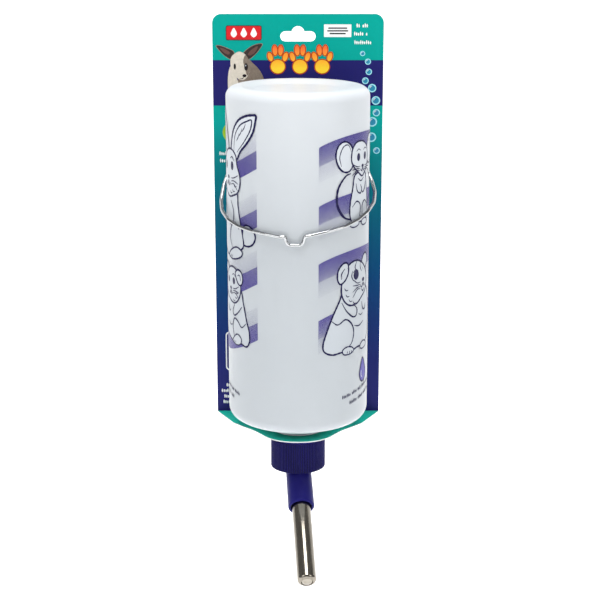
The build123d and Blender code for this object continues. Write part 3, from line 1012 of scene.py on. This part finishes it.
def draw_head(d):
    """A rabbit's head and shoulder that look over the bottle."""
    d.shape([(-30, 234.6), (-26.6, 232.6), (-22.8, 228.6), (-20.2, 223), (-19, 215), (-28, 210), (-36, 212),
             (-35, 226)], fill=FUR_BROWN, width=0)
    d.shape([(-38, 239.4), (-42.4, 241.8), (-46.4, 243.2), (-48.6, 243), (-46.8, 240.4), (-43.4, 237),
             (-39.6, 235.2)], fill=FUR_DARK, width=0.35, line=FUR_BROWN)
    d.shape([(-46.4, 242), (-43, 241), (-40.4, 239), (-41.6, 237.8), (-44.4, 239.4)], fill=EAR_PINK, width=0)
    d.shape([(-32.6, 238.2), (-29.4, 241.6), (-25.2, 243.8), (-21.2, 244.2), (-22.8, 241), (-26, 237.4),
             (-29.8, 235)], fill=FUR_DARK, width=0.35, line=FUR_BROWN)
    d.shape([(-24, 242.8), (-27.6, 240.8), (-29.8, 238), (-28, 237.4), (-25, 239.8)], fill=EAR_PINK, width=0)
    d.shape([(-38.2, 238), (-35, 239.6), (-31.4, 238), (-29, 234), (-28.8, 229), (-30.2, 224.8),
             (-33, 222.8), (-36.6, 224.2), (-39.2, 228), (-40.2, 232.6), (-39.8, 236)], fill=FUR_PALE, width=0)
    d.shape([(-31.2, 237.6), (-29, 234), (-28.8, 229), (-30.2, 225.4), (-31.4, 229), (-32.6, 234)],
            fill=FUR_BROWN, width=0)
    d.shape([(-40, 231), (-37, 225), (-35.6, 220), (-37.6, 212), (-41, 211), (-41.8, 218), (-41.6, 226)],
            fill=FUR_PALE, width=0)
    d.oval(-37.6, 230.8, 0.7, 1.8, fill=EYE_DARK, width=0)
    d.oval(-30.9, 230.6, 1.1, 2.2, fill=EYE_DARK, width=0)
    d.oval(-31.1, 231.4, 0.3, 0.4, fill=WHITE_FILL, width=0)
    d.oval(-31.9, 225.4, 1.2, 0.9, fill=EYE_DARK, width=0)
    d.curve([(-32.2, 224.6), (-33.2, 223.6), (-34.8, 223.6)], 0.4, EYE_DARK)


def draw_paw(d, x, z):
    """A paw print with a dark edge."""
    pads = [(0, -4.2, 4.2, 4.0, 0), (-4.5, 1.6, 1.4, 2.6, 18), (-1.7, 5.4, 1.4, 3.0, 4), (1.7, 5.4, 1.4, 3.0, -4),
            (4.5, 1.6, 1.4, 2.6, -18)]
    for dx, dz, rx, rz, turn in pads:
        d.oval(x + dx, z + dz, rx + 0.6, rz + 0.6, turn, fill=PAW_EDGE, width=0)
    for dx, dz, rx, rz, turn in pads:
        d.oval(x + dx, z + dz, rx, rz, turn, fill=PAW_INK, width=0)


def rounded_box(x0, z0, x1, z1, r):
    corners = [(x0, (z0 + z1) / 2), (x0, z0), (x1, z0), (x1, z1), (x0, z1), (x0, (z0 + z1) / 2)]
    return rounded(corners, [r] * 4, 6)[:-1]


def draw_labels(d):
    """A red badge with drops, a pale label with lines, and rows of marks in place of small print."""
    d.fill(rounded_box(-42.8, 246.2, -21.4, 255.0, 1.2), FUR_DARK)
    d.fill(rounded_box(-42.3, 246.7, -21.9, 254.5, 0.9), BADGE_RED)
    for x in (-38.0, -32.1, -26.2):
        d.shape([(x, 253.6), (x - 1.5, 251.2), (x - 1.8, 249.6), (x, 247.9), (x + 1.8, 249.6), (x + 1.5, 251.2)],
                fill=CARD_WHITE, width=0)
    d.fill(rounded_box(15.4, 248.2, 31.6, 255.6, 0.4), CARD_WHITE)
    for z, half in ((253.4, 5.6), (251.8, 6.2), (250.2, 4.8)):
        d.fill(rounded_box(23.5 - half, z - 0.4, 23.5 + half, z + 0.4, 0.3), EYE_DARK)
    rows = [(35.0, 253.8, (2, 3)), (33.6, 249.0, (5, 1)), (33.8, 244.0, (9,)), (-47.1, 177.6, (5,)),
            (-46.8, 173.2, (5,)), (-44.6, 30.6, (3,)), (-47.7, 26.9, (6,)), (-46.1, 23.2, (4,)),
            (-46.7, 19.5, (5,))]
    for x, z, words in rows:
        small_print(d, x, z, words, 2.3, CARD_WHITE)


def draw_hidden_pictures(d):
    """A round badge and a picture of a tube, both mostly behind the bottle."""
    d.oval(-38.9, 191.5, 6.5, 6.5, fill=BADGE_GREEN, width=0)
    d.oval(-38.9, 191.5, 4.2, 4.8, fill=EYE_DARK, width=0)
    d.fill(rounded_box(-45.2, 41.2, -36.0, 66.6, 2.6), CARD_WHITE)
    d.fill(rounded_box(-44.5, 41.9, -36.7, 65.9, 2.2), CARD_NAVY)
    d.fill(rounded_box(-43.4, 43.2, -37.8, 64.8, 1.4), FUR_DARK)


def draw_bubbles(d):
    bubbles = [(38.4, 238.5, 1.5), (41.6, 233.7, 1.8), (42.2, 227.7, 1.9), (40.2, 222.4, 2.0), (44.3, 218.0, 2.5),
               (46.6, 210.6, 2.6), (47.0, 203.3, 2.2), (44.6, 197.8, 2.9), (44.2, 188.5, 2.9), (47.4, 180.4, 2.0)]
    for x, z, r in bubbles:
        d.oval(x, z, r, r, fill=BUBBLE_RIM, width=0)
        d.oval(x, z, r * 0.72, r * 0.72, fill=BUBBLE_HEART, width=0)
        d.curve([(x - r * 0.5, z), (x - r * 0.38, z + r * 0.4), (x, z + r * 0.52)], r * 0.2, WHITE_FILL)


def make_card_prints():
    d = Drawing(on_card, CARD_STEP, CARD_STEP)
    draw_bubbles(d)
    draw_labels(d)
    draw_hidden_pictures(d)
    draw_head(d)
    for x in (-12.0, 1.2, 14.4):
        draw_paw(d, x, PAW_Z)
    d.finish("card_print", "card")


make_card_prints()

for node, material in (("cap", CAP), ("neck_gasket", RUBBER), ("tube_seal", RUBBER), ("drinking_tube", TUBE),
                       ("lower_ball", BALL), ("upper_ball", BALL), ("wire_hanger", WIRE)):
    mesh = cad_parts[node].data
    mesh.materials.clear()
    mesh.materials.append(material)

# ---------------------------------------------------------------- stage, light and camera


FLOOR_Z = -180
FLOOR_FRONT_Y = -3000
BACKDROP_Y = 2600
BACKDROP_TOP_Z = 3200
BACKDROP_BEND_R = 900
FLOOR_HALF_W = 4500

# Name, place, the point it is aimed at, width and height, and power of each soft light
LIGHTS = [
    ("key_left", (-1.1, -1.0, 0.9), (0, 0, 0.12), (0.7, 1.0), 6.2),
    ("key_right", (1.1, -0.9, 0.8), (0, 0, 0.12), (0.6, 1.0), 5),
    ("top", (0, -0.2, 1.5), (0, 0, 0.12), (0.6, 1.2), 25),
    ("front_low", (0, -1.4, -0.05), (0, 0, 0), (1.0, 0.3), 1.6),
]
WORLD_LIGHT = 0.25
WORLD_SEEN = 1.0

CAMERA_TARGET = Vector((0.0012, 0, 0.0981))
CAMERA_DISTANCE = 0.887
CAMERA_ELEVATION = radians(15)


def make_stage():
    """A pale floor that curves up into a backdrop, far behind the object."""
    m = Nodes("studio_floor")
    m.color(m.ramp(m.noise(3, 3, 0.5), [(0.3, (0.90, 0.90, 0.90)), (0.7, (0.92, 0.92, 0.92))]))
    m.set(Roughness=0.9, Emission_Color=(1, 1, 1, 1), Emission_Strength=0.7)
    corners = [(FLOOR_FRONT_Y, FLOOR_Z), (BACKDROP_Y, FLOOR_Z), (BACKDROP_Y, BACKDROP_TOP_Z)]
    outline = divide(rounded(corners, [BACKDROP_BEND_R], 24), 400)
    points = [(x, y, z) for y, z in outline for x in (-FLOOR_HALF_W, FLOOR_HALF_W)]
    faces = [(2 * i, 2 * i + 1, 2 * i + 3, 2 * i + 2) for i in range(len(outline) - 1)]
    add_mesh("studio_floor", points, faces, m.material)


def make_light(name, place, aim, size, power):
    data = bpy.data.lights.new(name, "AREA")
    data.shape = "RECTANGLE"
    data.size, data.size_y = size
    data.energy = power
    light = bpy.data.objects.new(name, data)
    light.location = place
    light.rotation_mode = "QUATERNION"
    light.rotation_quaternion = (Vector(aim) - Vector(place)).to_track_quat("-Z", "Y")
    bpy.context.scene.collection.objects.link(light)


def make_world():
    """White where the camera sees it, and a weaker white for the light that it gives."""
    world = bpy.data.worlds.new("studio")
    world.use_nodes = True
    tree = world.node_tree
    tree.nodes["Background"].inputs["Color"].default_value = (1, 1, 1, 1)
    strength = tree.nodes.new("ShaderNodeMapRange")
    strength.inputs["To Min"].default_value = WORLD_LIGHT
    strength.inputs["To Max"].default_value = WORLD_SEEN
    tree.links.new(tree.nodes.new("ShaderNodeLightPath").outputs["Is Camera Ray"], strength.inputs["Value"])
    tree.links.new(strength.outputs["Result"], tree.nodes["Background"].inputs["Strength"])
    bpy.context.scene.world = world


def make_camera():
    """A long lens in front of the object that looks down at the middle of its height."""
    data = bpy.data.cameras.new("camera")
    data.sensor_width = 36
    data.lens = 90
    camera = bpy.data.objects.new("camera", data)
    back = Vector((0, -cos(CAMERA_ELEVATION), sin(CAMERA_ELEVATION)))
    camera.location = CAMERA_TARGET + back * CAMERA_DISTANCE
    camera.rotation_mode = "QUATERNION"
    camera.rotation_quaternion = (-back).to_track_quat("-Z", "Y")
    bpy.context.scene.collection.objects.link(camera)
    bpy.context.scene.camera = camera


make_stage()
for light in LIGHTS:
    make_light(*light)
make_world()
make_camera()
bpy.context.scene.view_settings.view_transform = "Standard"
